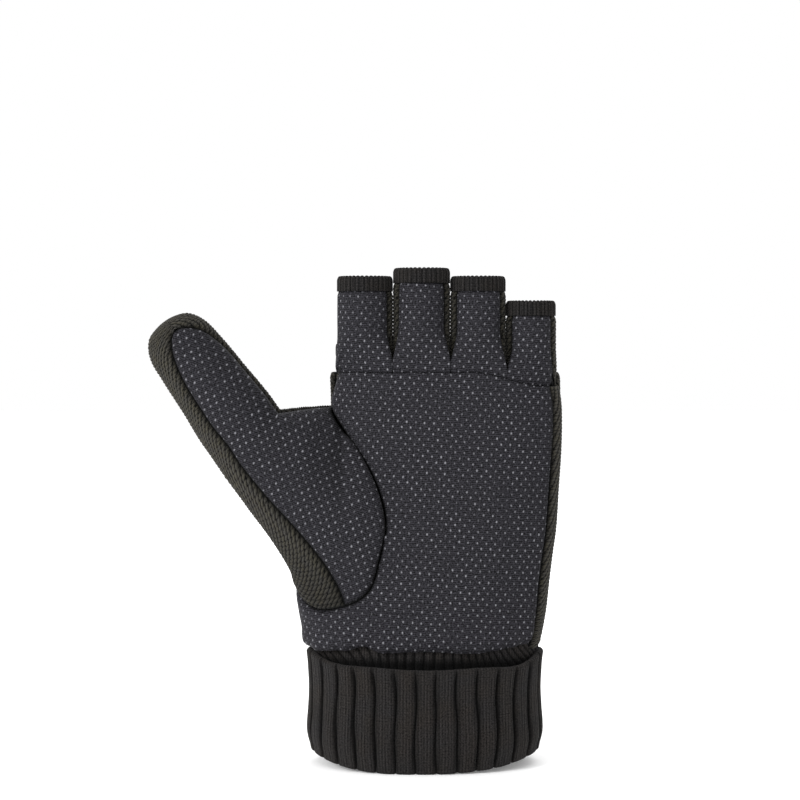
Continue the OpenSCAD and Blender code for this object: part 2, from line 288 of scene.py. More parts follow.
def shell(name, base, relief, thick, cloth_at, material, wrapped=False, step=1, painted_shading=1.0):
    """A closed sheet of cloth: the grid base raised by relief along its normals, a coarser grid that
    lies thick behind it with one point in step, and the faces that join their edges. A wrapped
    grid is a tube, and cloth_at then has one more column than base."""
    normal = facing(base, wrapped)
    outer = base + normal * np.broadcast_to(relief, base.shape[:2])[..., None]
    inner = (base - normal * thick)[::step, ::step]
    o = np.arange(outer.shape[0] * outer.shape[1]).reshape(outer.shape[:2])
    i = o.size + np.arange(inner.shape[0] * inner.shape[1]).reshape(inner.shape[:2])
    if wrapped:
        o, i = np.hstack([o, o[:, :1]]), np.hstack([i, i[:, :1]])
    back = cloth_at[::step, ::step]
    parts = [grid_faces(o, cloth_at, False), grid_faces(i, back, True),
             edge_faces(o[0], i[0], cloth_at[0], back[0], step, False),
             edge_faces(o[-1], i[-1], cloth_at[-1], back[-1], step, True)]
    if not wrapped:
        parts += [edge_faces(o[:, 0], i[:, 0], cloth_at[:, 0], back[:, 0], step, True),
                  edge_faces(o[:, -1], i[:, -1], cloth_at[:, -1], back[:, -1], step, False)]
    points = np.concatenate([outer.reshape(-1, 3), inner.reshape(-1, 3)])
    painted_shading = np.broadcast_to(painted_shading, base.shape[:2])
    painted_shading = np.concatenate([painted_shading.ravel(), painted_shading[::step, ::step].ravel()])
    return piece(name, points, [f for p in parts for f in p[0]], np.concatenate([p[1] for p in parts]),
                 material, painted_shading)


def oval(phi, a, b, power):
    """x and y round an oval whose half sizes are a and b: cosine and sine to the power 2 / power."""
    c, s = np.cos(np.radians(phi)), np.sin(np.radians(phi))
    return a * np.sign(c) * np.abs(c) ** (2 / power), -b * np.sign(s) * np.abs(s) ** (2 / power)


def even_angles(a, b, power, count):
    """Angles that cut an oval into count equal lengths, and its whole length."""
    fine = np.linspace(0, 360, 7201)
    x, y = oval(fine, a, b, power)
    length = np.concatenate([[0], np.cumsum(np.hypot(np.diff(x), np.diff(y)))])
    return np.interp(np.arange(count) / count * length[-1], length, fine), length[-1]


def bell(x, width):
    """A bump of height 1 at 0."""
    return np.exp(-(np.asarray(x, float) / width) ** 2)


def ease(t):
    """Runs from 0 to 1 with level ends."""
    t = np.clip(t, 0, 1)
    return t * t * (3 - 2 * t)


def along(grid, axis):
    """Length along a grid's lines from their first point."""
    step = np.linalg.norm(np.diff(grid, axis=axis), axis=-1)
    start = np.zeros_like(np.take(step, [0], axis=axis))
    return np.concatenate([start, np.cumsum(step, axis=axis)], axis=axis)


def rib_relief(turn, z):
    """Height of the ribbed surface and the painted shade on it, dark in the valleys: broad ribs parted by
    narrow valleys that wander a little, each rib with its columns of stitches. turn runs from 0 to 1 round
    the cuff."""
    phase = turn * RIBS + (0.04 * np.sin(z / 11 + 40 * turn) + 0.035 * np.sin(z / 3.7 + 170 * turn))
    part = phase % 1
    valley = np.minimum(part, 1 - part)
    own = 0.10 * np.sin(np.floor(phase) * 2.4) + 0.08 * np.sin(np.floor(phase) * 5.1)
    wales = np.abs(np.sin(np.pi * WALES * part))
    crown = np.sin(np.pi * part) ** 0.6
    # Painted shade: the colour darkened in each valley, and varied a little across the columns of
    # stitches.
    painted_shading = (1 - 0.9 * bell(valley, 0.14)) * (0.84 + 0.3 * wales)
    return -1.15 * bell(valley, 0.085) + (0.28 + own) * crown + 0.2 * wales, painted_shading


def rim_height(phi):
    """The free edge dips in front and stands up at the little finger's side."""
    side = np.where(phi > 180, phi - 360, phi)
    return RIM_Z + 4.2 * bell(side, 27) + 4.3 * bell(phi - 180, 38) + 0.3 * np.sin(np.radians(phi * 7))


def foot_rise(phi):
    """The fold at the foot stands on its front and back, and curves up towards its two sides, sooner
    on the little finger's side."""
    side = np.cos(np.radians(phi))
    return 5.0 * np.abs(side) ** 3 + 1.4 * np.clip(side, 0, 1) * np.abs(np.sin(np.radians(phi)))


def cuff_outer_layer():
    """A closed wall round the oval: up the inside, over the rim, down the ribbed face, and round the
    fold at the foot. Each point of its section is an inset, a share of the height and a lean."""
    columns = RIBS * 32
    phi, length = even_angles(CUFF_W, CUFF_D, CUFF_POWER, columns)
    face, inside = 44, 9
    arc = np.linspace(0, np.pi, 7)[1:-1]
    half = CUFF_T / 2
    inset = np.concatenate([np.zeros(face), half - half * np.cos(arc), np.full(inside, CUFF_T),
                            half + half * np.cos(arc)])
    share = np.concatenate([np.linspace(1, 0, face), 0 * arc, np.linspace(0, 1, inside), 0 * arc + 1])
    rise = np.concatenate([np.zeros(face), -half * np.sin(arc), np.zeros(inside), half * np.sin(arc)])
    out = np.concatenate([np.ones(face), np.cos(arc / 2) ** 2, np.zeros(inside), np.sin(arc / 2) ** 2])
    inset, share, rise, out = (v[::-1, None] for v in (inset, share, rise, out))
    top = rim_height(phi)[None]
    lift = foot_rise(phi[None])
    z = half + lift + share * (top - 2 * half - lift) + rise
    belly = 0.4 * np.sin(np.pi * np.clip(z / 20, 0, 1)) - 1.2 * bell(z - lift - 1, 4) \
        + 0.7 * bell(z - top, 3.0) - 0.5 * bell(z - 28, 7)
    relief, painted_shading = rib_relief(np.arange(columns)[None] / columns, z)
    fade = 1 - 0.5 * bell(z - top, 2.2) - 0.35 * bell(z - lift, 2.5)
    inward = inset - relief * (out * fade + 0.25 * (1 - out)) - belly * out
    x, y = oval(phi[None], CUFF_W, CUFF_D, CUFF_POWER)
    nx, ny = x / CUFF_W ** 2, y / CUFF_D ** 2
    size = np.hypot(nx, ny)
    foot = np.where(rise < 0, relief * 0.3 * out, 0)
    grid = np.stack([x - inward * nx / size, y - inward * ny / size, np.maximum(z - foot, 0.05)], -1)
    down = along(grid[:, :1], 0)
    round_it = np.arange(columns + 1)[None] / columns * length
    cloth_at = np.stack(np.broadcast_arrays(round_it, np.vstack([down, down[-1:] + 1])), -1)
    ids = np.arange(grid.shape[0] * columns).reshape(-1, columns)
    ids = np.hstack([ids, ids[:, :1]])
    faces, corners = grid_faces(np.vstack([ids, ids[:1]]), cloth_at, False)
    # Painted shade of the rib valleys, on the outer face only and weaker at the rim and the fold.
    painted_shading = 1 - (1 - painted_shading) * out * fade
    return piece("cuff_outer_layer", grid.reshape(-1, 3), faces, corners, black_rib_knit, painted_shading.ravel())


def cuff_neck_layer():
    """The inner layer: straight up inside the turned-up one, then drawn in to the gathered neck, where
    the ribs crowd into slanted pleats."""
    columns = 720
    phi, length = even_angles(CUFF_W, CUFF_D, CUFF_POWER, columns)
    z = np.concatenate([np.linspace(0.6, 30, 26), np.linspace(30.6, 46, 36)])[:, None]
    draw = ease((z - 14) / 24)
    a = (CUFF_W - CUFF_T - 0.4) * (1 - draw) + 41.8 * draw
    b = (CUFF_D - CUFF_T - 0.4) * (1 - draw) + 18.8 * draw
    x, y = oval(phi[None], a, b, CUFF_POWER)
    lift = foot_rise(phi[None]) * np.clip(1 - z / 30, 0, 1)
    grid = np.stack([x, y, z + lift], -1)
    turn = np.arange(columns)[None] / columns
    slant = (z - 38) * 0.006
    pleat = turn - slant * np.sin(2 * np.pi * (turn - 0.25)) ** 2
    crowd = np.abs(np.sin(np.pi * 68 * pleat + 0.8 * np.sin(40 * turn)))
    relief = 0.75 * draw * (crowd ** 0.7 - 0.6) * (1 + 0.3 * np.sin(31 * turn)) \
        + rib_relief(turn, z)[0] * 0.35 * (1 - draw)
    # Painted light and shade: pleat crowns lighter and folds darker, and the neck painted almost black
    # below the rim, where the turned-up layer shades it.
    painted_shading = (1.25 - 1.1 * draw * bell(crowd, 0.5)) * (0.05 + 1.1 * ease((z - 38.4) / 4.0))
    cloth_at = np.stack(np.broadcast_arrays(np.arange(columns + 1)[None] / columns * length, z), -1)
    return shell("cuff_neck_layer", grid, relief, 1.6, cloth_at, black_rib_knit, True, painted_shading=painted_shading)


black_rib_knit = rib_knit()
cuff_front = cuff_outer_layer()
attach(cuff_front, "hand")
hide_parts("cuff_turnup")
cuff_neck = cuff_neck_layer()
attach(cuff_neck, "hand")
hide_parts("cuff_inner_layer")

# ---- Palm ----
# Slate stretch fabric with small raised grip dots in staggered rows, cut in one piece from the little
# finger's side round to the thumb's side, with a blunt oval cut out for the thumb. It is sewn with
# the seam inside, so its edges roll in. The grip dots' steps, radii and drift are in millimetres.
SHELL_T = 1.1
HEM_Z = 43.0
TOP_Z = 144.0
OUTER_SEAM = 25.0
THUMB_SEAM = 194.0
HOLE_Z, HOLE_UP, HOLE_DOWN, HOLE_REACH = 86.0, 46.0, 28.5, 87.0
UP_POWER, DOWN_POWER = 1.6, 5.0
FOOT_LIFT, FLAT_SHARE = 15.0, 0.62
HAND_POWER = 2.4
DOT_ACROSS, DOT_UP = 3.32, 3.99
DOT_CORE, DOT_EDGE, DOT_SQUASH = 0.12, 0.50, 0.78
DOT_DRIFT, WEAVE_ROW = 0.7, 0.68


def curve(points, spread=5.0):
    """A curve through [height, value] pairs, rounded by an average weighted as a bell."""
    fine = np.arange(0, 200.5, 0.5)
    value = np.interp(fine, *np.array(points, float).T)
    reach = np.arange(-3 * spread, 3 * spread + 0.5, 0.5)
    weight = bell(reach, spread * math.sqrt(2))
    value = np.convolve(np.pad(value, len(reach) // 2, mode="edge"), weight / weight.sum(), mode="valid")
    return lambda z: np.interp(z, fine, value)


half_width = curve([[43, 42.8], [51, 44.9], [58, 46.1], [72, 47.2], [86, 46.1], [106, 44.2], [124, 42.9],
                    [136, 42.2], [146, 39.4]], 3.0)
centre_x = curve([[43, -1], [58, -1.3], [72, -0.9], [86, 2.1], [106, 5.7], [124, 7.9], [146, 7.8]])
half_depth = curve([[43, 21], [58, 21], [72, 20.3], [86, 18.8], [106, 16.6], [124, 14.6], [136, 13.6],
                    [146, 12.6]])
centre_y = curve([[43, 0], [58, -1.2], [72, -1.4], [86, -0.8], [106, 0], [124, 0.6], [146, 1]])


def hand_point(phi, z, inset=0.0):
    """A point on the hand: a rounded oval at height z, whose size and middle follow the curves."""
    x, y = oval(phi, half_width(z) - inset, half_depth(z) - inset, HAND_POWER)
    return np.stack(np.broadcast_arrays(centre_x(z) + x, centre_y(z) + y, z), -1)


def top_height(x):
    """The knuckle line, lower under the little finger."""
    return TOP_Z - 5 * ease((x - 18) / 24)


def opening_edge(z):
    """The angle that the thumb's opening reaches round to at a height."""
    up = np.clip((z - HOLE_Z) / HOLE_UP, 0, 1)
    down = np.clip((HOLE_Z - z) / HOLE_DOWN, 0, 1)
    share = np.where(z > HOLE_Z, np.sqrt(1 - up ** UP_POWER), (1 - down ** DOWN_POWER) ** (1 / DOWN_POWER))
    return THUMB_SEAM - HOLE_REACH * share


def foot_lift(share):
    """The opening's foot rises where it turns round the side of the hand."""
    return FOOT_LIFT * np.clip(1 - share / FLAT_SHARE, 0, 1) ** 1.5


def opening_point(psi, inset=0.0):
    """The thumb's opening at an angle round the thumb: 0 at the top, 90 on the palm, 180 at the foot."""
    c, s = np.cos(np.radians(psi)), np.maximum(0, np.sin(np.radians(psi)))
    share = np.where(c > 0, s, s ** (2 / DOWN_POWER))
    down = np.abs(c) ** (2 / DOWN_POWER)
    lift = np.where(s > 0, foot_lift(share), FOOT_LIFT * down)
    z = np.where(c > 0, HOLE_Z + HOLE_UP * np.abs(c) ** (2 / UP_POWER), HOLE_Z - HOLE_DOWN * down + lift)
    return hand_point(THUMB_SEAM - HOLE_REACH * share, z, inset)


def nearness(grid, line):
    """Distance from each point of a grid to the nearest point of a line."""
    flat = grid.reshape(-1, 3)
    best = np.concatenate([np.linalg.norm(part[:, None] - line[None], axis=-1).min(1)
                           for part in np.array_split(flat, max(1, len(flat) // 3000))])
    return best.reshape(grid.shape[:2])


def shaded(tree, colour):
    """A colour darkened by the painted shade that the mesh carries in a point attribute."""
    painted_shade_factor = node(tree, "Attribute", output="Fac", attribute_name="painted_shading")
    return times(tree, colour, node(tree, "CombineColor", painted_shade_factor, painted_shade_factor, painted_shade_factor))


def grip_fabric(name, turn):
    """Knitted stretch fabric, slate grey, with printed dots of pale soft rubber, each about a
    millimetre long, in rows staggered by half a step. turn leans the rows, in degrees."""
    material, tree = cloth(name, 0.8, 0.02)
    uv = node(tree, "UVMap", uv_map="cloth")
    place = node(tree, "Mapping", {0: uv, "Rotation": (0, 0, math.radians(turn))})
    drift = node(tree, "TexNoise", {"Vector": place, "Scale": 0.26 * MM_PER_M, "Detail": 1.0}, output=1)
    shift = node(tree, "VectorMath", drift, (0.5, 0.5, 0.5), operation="SUBTRACT")
    drift = (DOT_DRIFT / MM_PER_M, DOT_DRIFT / MM_PER_M, 0.0)
    place = node(tree, "VectorMath", shift, drift, place, operation="MULTIPLY_ADD")
    step = (DOT_ACROSS / MM_PER_M, DOT_UP / MM_PER_M, 1.0)
    cell = node(tree, "VectorMath", place, step, operation="DIVIDE")
    reach, bright = [], []
    for half in (0.0, 0.5):
        moved = node(tree, "VectorMath", cell, (half, half, 0.0), operation="ADD")
        part = node(tree, "VectorMath", moved, operation="FRACTION")
        part = node(tree, "VectorMath", part, (0.5, 0.5, 0.0), operation="SUBTRACT")
        part = node(tree, "VectorMath", part, (DOT_ACROSS, DOT_UP * DOT_SQUASH, 0.0), operation="MULTIPLY")
        reach.append(node(tree, "VectorMath", part, output=1, operation="LENGTH"))
        whole = node(tree, "VectorMath", moved, (half * 7, half * 3, 0.0), operation="FLOOR")
        bright.append(node(tree, "TexWhiteNoise", {"Vector": whole}))
    nearest = node(tree, "Math", *reach, operation="MINIMUM")
    which = node(tree, "Math", *reach, operation="LESS_THAN")
    own = node(tree, "Mix", {0: which, 2: bright[1], 3: bright[0]})
    dot = node(tree, "MapRange", nearest, DOT_EDGE, DOT_CORE, 0.0, 1.0, interpolation_type="SMOOTHSTEP")
    row = node(tree, "SeparateXYZ", place).node.outputs[1]
    row = hump(tree, node(tree, "Math", row, WEAVE_ROW / MM_PER_M, operation="DIVIDE"))
    row = node(tree, "Math", row, 0.22, operation="MULTIPLY")
    speck = node(tree, "TexNoise", {"Vector": place, "Scale": 1.7 * MM_PER_M, "Detail": 4.0})
    weave = node(tree, "Math", row, speck, operation="ADD")
    own = node(tree, "Math", own, 0.7, 0.3, operation="MULTIPLY_ADD")
    shown = node(tree, "Math", dot, own, operation="MULTIPLY")
    mixed = node(tree, "Mix", {0: shown, 6: graded_colour(tree, weave, "#060607", "#323136", 0.50, 0.80),
                               7: linear("#7e7e83")}, output=2, data_type="RGBA")
    low = node(tree, "Math", weave, 0.6, operation="MULTIPLY")
    height = node(tree, "Math", dot, 1.4, low, operation="MULTIPLY_ADD")
    # The colour is darkened by the mesh's painted shade.
    dress(tree, shaded(tree, mixed), height, 0.25, 0.8)
    return material


def hem_height(phi):
    """The palm's lower hem: it lifts towards the little finger's side, with one notch near the thumb."""
    swell = 3.6 * bell(phi - 20, 22) + 2.6 * bell(phi - 115.5, 6.0)
    return HEM_Z + swell + 0.4 * np.sin(np.radians(phi * 9))


def hand_grid(first, last, level, columns, inset=0.0):
    """Rows of points on the hand at the given heights, which bend to meet the hem, the knuckle line and
    the foot of the thumb's opening. first is an angle, and last an angle or a function of the height."""
    level = level[:, None]
    end = last(level) if callable(last) else last
    phi = first + (end - first) * np.linspace(0, 1, columns)[None]
    z = level + (hem_height(phi) - HEM_Z) * ease((HOLE_FOOT - 1 - level) / 12)
    share = (THUMB_SEAM - phi) / HOLE_REACH
    rise = ease((level - HEM_Z) / (HOLE_FOOT - HEM_Z)) * np.where(level > HOLE_Z, 0, 1)
    z = z + np.where((share >= 0) & (share < 1), foot_lift(share), 0) * rise
    z = z + (top_height(hand_point(phi, level)[..., 0]) - TOP_Z) * ease((level - 108) / (TOP_Z - 108))
    return phi, hand_point(phi, z, inset)


HOLE_FOOT = HOLE_Z - HOLE_DOWN
foot_shares = np.linspace(0, FLAT_SHARE, 24)
foot_levels = HOLE_Z - HOLE_DOWN * (1 - foot_shares ** DOWN_POWER) ** (1 / DOWN_POWER)
palm_levels = np.concatenate([np.linspace(HEM_Z, HOLE_FOOT, 25)[:-1], foot_levels,
                              np.linspace(foot_levels[-1], TOP_Z, 122)[1:]])


def creases(grid, size):
    """Soft unevenness of worn cloth: a few long waves that cross each other."""
    x, z = grid[..., 0], grid[..., 2]
    return size * (np.sin(x / 9.1 + z / 17.3) * np.sin(z / 11.7 - x / 23.1)
                   + 0.5 * np.sin(x / 4.7 - z / 6.1 + 1.3) * np.sin(z / 8.9))


def rolled(distance, depth=1.0, width=0.8):
    """The edge of a sewn panel: it turns in at the seam, and is a little full beside it."""
    return -depth * bell(distance, width) + 0.35 * bell(distance - 3.2, 2.2)


def seam_shade(distance):
    """Painted shade near a seam: dark in the thread's line, where the cloth turns in, and lighter away
    from it.
    """
    return 1 - 0.9 * bell(distance, 0.55) - 0.16 * bell(distance, 2.2)


def palm():
    """The hand's front with its outline rolled in at the seams and puckered at the gathered hem."""
    phi, grid = hand_grid(OUTER_SEAM, opening_edge, palm_levels, 145)
    hole = opening_point(np.linspace(0, 180, 400))
    side = hand_point(OUTER_SEAM, np.linspace(HEM_Z, TOP_Z, 300))
    distance = np.minimum(nearness(grid, hole), nearness(grid, side))
    hem = grid[..., 2] - hem_height(phi)
    x = grid[..., 0]
    pucker = 0.42 * np.exp(-hem / 5.0) * np.sin(x / 0.95 + 1.5 * np.sin(x / 6.0) - hem * 0.25)
    fade = 1 - 0.65 * ease((grid[..., 2] - 106) / 16)
    relief = rolled(distance, fade) + creases(grid, 0.32) + pucker - 0.9 * bell(hem, 0.9) \
        + 0.5 * bell(hem - 3.5, 3.0)
    across = along(grid, 1)
    middle = np.array([np.interp(90, row_phi, row) if row_phi[-1] > 90 else 0
                       for row_phi, row in zip(phi, across)])[:, None]
    cloth_at = np.stack([across - middle - centre_x(grid[..., 2]), grid[..., 2]], -1)
    # The palm's colour carries painted shade along its seams.
    return shell("palm", grid, relief, SHELL_T, cloth_at, slate_grip_fabric, step=4,
                 painted_shading=seam_shade(distance))


slate_grip_fabric = grip_fabric("slate_grip_fabric", -3.7)
palm_front = palm()
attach(palm_front, "hand")
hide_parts("palm_panel")

# ---- Back of the hand ----
# A chunky knit in dark olive-brown melange yarn, worked in short slanted stitches with every other
# row set over by half. It wraps a few millimetres round to the front on the little finger's side.
KNIT_ROW, KNIT_STITCH, KNIT_LEAN = 1.35, 1.95, 0.75
KNIT_DRIFT = (0.7, 0.5)


def melange_knit():
    """Wool-blend yarn spun from brown, olive and charcoal fibres, in short slanted stitches with dark
    hollows between them: matt, uneven, a little hairy."""
    material, tree = cloth("olive_melange_knit", 0.92, 0.05)
    uv = node(tree, "UVMap", uv_map="cloth")
    drift = node(tree, "TexNoise", {"Vector": uv, "Scale": 0.42 * MM_PER_M, "Detail": 2.0}, output=1)
    shift = node(tree, "VectorMath", drift, (0.5, 0.5, 0.5), operation="SUBTRACT")
    place = node(tree, "VectorMath", shift, (KNIT_DRIFT[0] / MM_PER_M, KNIT_DRIFT[1] / MM_PER_M, 0.0), uv,
                 operation="MULTIPLY_ADD")
    across = node(tree, "SeparateXYZ", place)
    row = node(tree, "Math", across.node.outputs[1], KNIT_ROW / MM_PER_M, operation="DIVIDE")
    odd = node(tree, "Math", node(tree, "Math", row, operation="FLOOR"), 2.0, operation="MODULO")
    set_over = node(tree, "Math", odd, 0.5, operation="MULTIPLY")
    part = node(tree, "Math", row, operation="FRACT")
    lean = node(tree, "Math", part, KNIT_LEAN, set_over, operation="MULTIPLY_ADD")
    column = node(tree, "Math", across, KNIT_STITCH / MM_PER_M, operation="DIVIDE")
    column = node(tree, "Math", column, lean, operation="ADD")
    crown = node(tree, "Math", hump(tree, row), 0.6, 0.4, operation="MULTIPLY_ADD")
    stitch = node(tree, "Math", crown, hump(tree, column), operation="MULTIPLY")
    stitch = node(tree, "Math", stitch, 0.6, operation="MULTIPLY")
    fibre = node(tree, "TexNoise", {"Vector": uv, "Scale": 1.9 * MM_PER_M, "Detail": 4.0})
    height = node(tree, "Math", fibre, 0.8, stitch, operation="MULTIPLY_ADD")
    # Painted shade: the colour runs near black in the hollows between stitches.
    colour = graded_colour(tree, height, "#030303", "#43423e", 0.45, 0.92)
    drift = node(tree, "TexNoise", {"Vector": uv, "Scale": 0.33 * MM_PER_M, "Detail": 3.0})
    tint = graded_colour(tree, drift, "#fff9e8", "#efedee", 0.34, 0.66)
    # The mesh's painted shade darkens it further.
    dress(tree, shaded(tree, times(tree, colour, tint)), height, 0.45, 0.9)
    return material


def knit_relief(cloth_at, size=0.42):
    """Height of the knit's stitches: in each row a string of parabolas, every other row set over."""
    row = cloth_at[..., 1] / KNIT_ROW
    part = row - np.floor(row)
    column = cloth_at[..., 0] / KNIT_STITCH + 0.5 * (np.floor(row) % 2) + KNIT_LEAN * part
    column = column - np.floor(column)
    return size * (0.4 + 0.6 * (1 - (2 * part - 1) ** 2)) * (1 - (2 * column - 1) ** 2)


def back():
    """The hand's back, rolled in along both side seams, drawn in at the wrist and set with stitches."""
    phi, grid = hand_grid(THUMB_SEAM, 360 + OUTER_SEAM, np.linspace(HEM_Z, TOP_Z, 257), 289)
    sides = np.concatenate([hand_point(THUMB_SEAM, np.linspace(HEM_Z, TOP_Z, 300)),
                            hand_point(OUTER_SEAM, np.linspace(HEM_Z, TOP_Z, 300))])
    distance = nearness(grid, sides)
    hem = grid[..., 2] - hem_height(phi)
    cloth_at = np.stack([along(grid, 1), grid[..., 2]], -1)
    relief = rolled(distance) + creases(grid, 0.25) + knit_relief(cloth_at, 0.3) - 0.8 * bell(hem, 1.0) \
        + 0.25 * np.exp(-hem / 4.0) * np.sin(cloth_at[..., 0] / 1.0)
    # Painted shade along both side seams.
    return shell("back_of_hand", grid, relief, SHELL_T, cloth_at, olive_melange_knit, step=16,
                 painted_shading=seam_shade(distance))


olive_melange_knit = melange_knit()
back_knit = back()
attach(back_knit, "hand")
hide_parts("back_panel")

# ---- Thumb ----
# The thumb is closed. Its grip-fabric front is set into the oval in the palm and narrows to the tip,
# and a band of the knit wraps its outside, its back and over its end.
THUMB_BEND = np.array([-66.3, -6.0, 122.0])
THUMB_LEAN = math.radians(35.3)
THUMB_AXIS = np.array([-math.sin(THUMB_LEAN), 0, math.cos(THUMB_LEAN)])
THUMB_SIDE = np.array([math.cos(THUMB_LEAN), 0, math.sin(THUMB_LEAN)])
THUMB_LEN = 35.0
THUMB_TIP_R = 12.8
THUMB_TIP = 15.2
THUMB_R = 14.75
FRONT_END = 44.5
SEAM_TOP = 20.0
BASE_ROWS = 0.5


def thumb_tube(psi, s):
    """A point round the thumb, at the distance s past its bend: a tapering tube with a round end."""
    taper = THUMB_R + (THUMB_TIP_R - THUMB_R) * np.clip((s - 6) / (THUMB_LEN - 6), 0, 1)
    past = np.clip((s - THUMB_LEN) / THUMB_TIP, 0, 1)
    radius = (taper * (1 - past ** 2.3) ** (1 / 2.3))[..., None]
    turn = np.radians(psi)[..., None]
    return THUMB_BEND + s[..., None] * THUMB_AXIS \
        + radius * (np.cos(turn) * THUMB_SIDE + np.sin(turn) * np.array([0, -1.0, 0]))


def thumb_point(psi, w, s_end):
    """A point on the thumb: for w under BASE_ROWS, on a cubic curve from the opening in the palm to the
    tube; above that, on the tube as far as s_end."""
    near = np.cos(np.radians(psi / 2)) ** 2
    ring = -8 + 7 * near
    t = np.clip(w / BASE_ROWS, 0, 1)[..., None]
    behind = np.sqrt(np.maximum(0, -np.sin(np.radians(psi))))[..., None]
    a, d = opening_point(psi) + np.array([1.2, 1.8, 0]) * behind, thumb_tube(psi, ring)
    reach = np.linalg.norm(d - a, axis=-1)[..., None] / 3
    far = (1 - near)[..., None]
    b = a + (d - a) / 3 + np.array([6.0, 0, 0]) * far ** 2 \
        + np.array([0, -2.2, 0]) * np.maximum(0, np.sin(np.radians(psi)))[..., None]
    c = d - THUMB_AXIS * reach * far ** 0.5
    base = (1 - t) ** 3 * a + 3 * (1 - t) ** 2 * t * b + 3 * (1 - t) * t ** 2 * c + t ** 3 * d
    s = ring + (s_end - ring) * np.clip((w - BASE_ROWS) / (1 - BASE_ROWS), 0, 1)
    return np.where((w < BASE_ROWS)[..., None], base, thumb_tube(psi, s)), s


def front_limits(w):
    """The angles of the thumb's two front seams. Both run along the thumb and meet near its tip."""
    s = -4 + (FRONT_END + 4) * np.clip((w - BASE_ROWS) / (1 - BASE_ROWS), 0, 1)
    close = np.sqrt(1 - np.clip((s - SEAM_TOP) / (FRONT_END - SEAM_TOP), 0, 1) ** 2)
    foot = np.clip(1 - w / BASE_ROWS, 0, 1)
    outer = 80 + (42 - 4 * bell(s, 8)) * close + 25 * foot ** 1.6
    return 80 - 70 * close - 8 * foot, outer


def thumb_front():
    """The thumb's grip-fabric front, full beside its oval seam with a soft crease inside that."""
    rest = 1 - (1 - BASE_ROWS) * np.cos(np.linspace(0, np.pi / 2, 70)[1:])
    w = np.concatenate([np.linspace(0, BASE_ROWS, 60), rest])[:, None]
    inner, outer = front_limits(w)
    psi = inner + (outer - inner) * np.linspace(0, 1, 97)[None]
    w = np.broadcast_to(w, psi.shape)
    grid, _ = thumb_point(psi, w, np.full(psi.shape, FRONT_END))
    distance = np.minimum(nearness(grid, grid[:, 0]), nearness(grid, grid[:, -1]))
    distance = np.minimum(distance, nearness(grid, grid[0]))
    fold = grid[..., 0] - (-31.5 + 0.09 * np.abs(grid[..., 2] - 112))
    crease = (1.6 * bell(fold, 2.0) + 1.2 * bell(fold + 5, 5.0)) * bell(grid[..., 2] - 114, 16)
    leaf = 0.8 * bell(grid[..., 0] + 24, 6) * bell(grid[..., 2] - 98, 24)
    fade = 1 - 0.65 * ease((grid[..., 2] - 106) / 16) * (grid[..., 0] > -45)
    relief = rolled(distance, fade) + creases(grid, 0.22) - crease + leaf
    cloth_at = grid[..., [0, 2]]
    # Painted shade: the colour darkened in the crease and the hollow beside it, and along the seams.
    shade = 0.25 * bell(fold, 2.5) + 0.22 * bell(fold + 4, 6.0)
    painted_shade_factor = seam_shade(distance) * (1 - shade * bell(grid[..., 2] - 114, 16))
    return shell("thumb_front", grid, relief, SHELL_T, cloth_at, leaning_grip_fabric, step=4,
                 painted_shading=painted_shade_factor)


def thumb_back():
    """The knitted outside and back of the thumb, closed over the tip."""
    w = np.concatenate([np.linspace(0, BASE_ROWS, 161)[:-1],
                        BASE_ROWS + (1 - BASE_ROWS) * np.sin(np.linspace(0, np.pi / 2, 176))])[:, None]
    s_end = THUMB_LEN + THUMB_TIP
    s_here = -4 + (s_end + 4) * np.clip((w - BASE_ROWS) / (1 - BASE_ROWS), 0, 1)
    reached = np.clip((s_here + 4) / (FRONT_END + 4), 0, 1)
    inner, outer = front_limits(np.where(w < BASE_ROWS, w, BASE_ROWS + (1 - BASE_ROWS) * reached))
    psi = outer + (inner + 360 - outer) * np.linspace(0, 1, 209)[None]
    w = np.broadcast_to(w, psi.shape)
    grid, s = thumb_point(psi, w, np.full(psi.shape, s_end))
    sewn = s[:, 0] < FRONT_END - 0.5
    distance = np.minimum(nearness(grid, grid[sewn, 0]), nearness(grid, grid[sewn, -1]))
    distance = np.minimum(distance, nearness(grid, grid[0]))
    run = along(grid, 1)
    cloth_at = np.stack([run - run[:, -1:] / 2, along(grid, 0).mean(1, keepdims=True) + 0 * run], -1)
    tip = ease((s_end - s) / 3.0)
    knit = knit_relief(cloth_at, 0.55) * ease(distance / 1.2)
    relief = (rolled(distance) + knit + creases(grid, 0.2)) * tip
    # Painted shade: the knit darkened towards the thumb's foot, and along its seams.
    fold_shade = 1 - 0.4 * bell(np.minimum(nearness(grid, grid[0]), 60), 24)
    made = shell("thumb_back", grid, relief, SHELL_T, cloth_at, olive_melange_knit, step=16,
                 painted_shading=seam_shade(distance) * fold_shade)
    weld(made)
    return made


leaning_grip_fabric = grip_fabric("leaning_grip_fabric", 20.0)
for made, nodes, slot in ((thumb_front(), ("thumb_base_front", "thumb_front"), "grip_fabric"),
                          (thumb_back(), ("thumb_base_back", "thumb_back"), "melange_knit")):
    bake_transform(made)
    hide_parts(*nodes)

# ---- Finger stubs ----
# Each finger is covered to about half its length: grip fabric in front, knit behind, fleece inside and
# a narrow rib band round the open end. Every stub starts from its share of the hand's top edge.
FINGER_Y = -0.5
BAND_H = 5.0
CROTCH_RISE = 3.0
# Each finger's middle, radius, bend height and length past the bend, and its foot's two ends.
FINGERS = {"index": (-22.2, 10.2, 154, 25, -33.1, -11.85), "middle": (-1.3, 10.4, 156, 26, -11.85, 9.25),
           "ring": (19.5, 10.1, 154, 25, 9.25, 29.75), "pinky": (39.0, 9.1, 148, 22, 29.75, 48.5)}


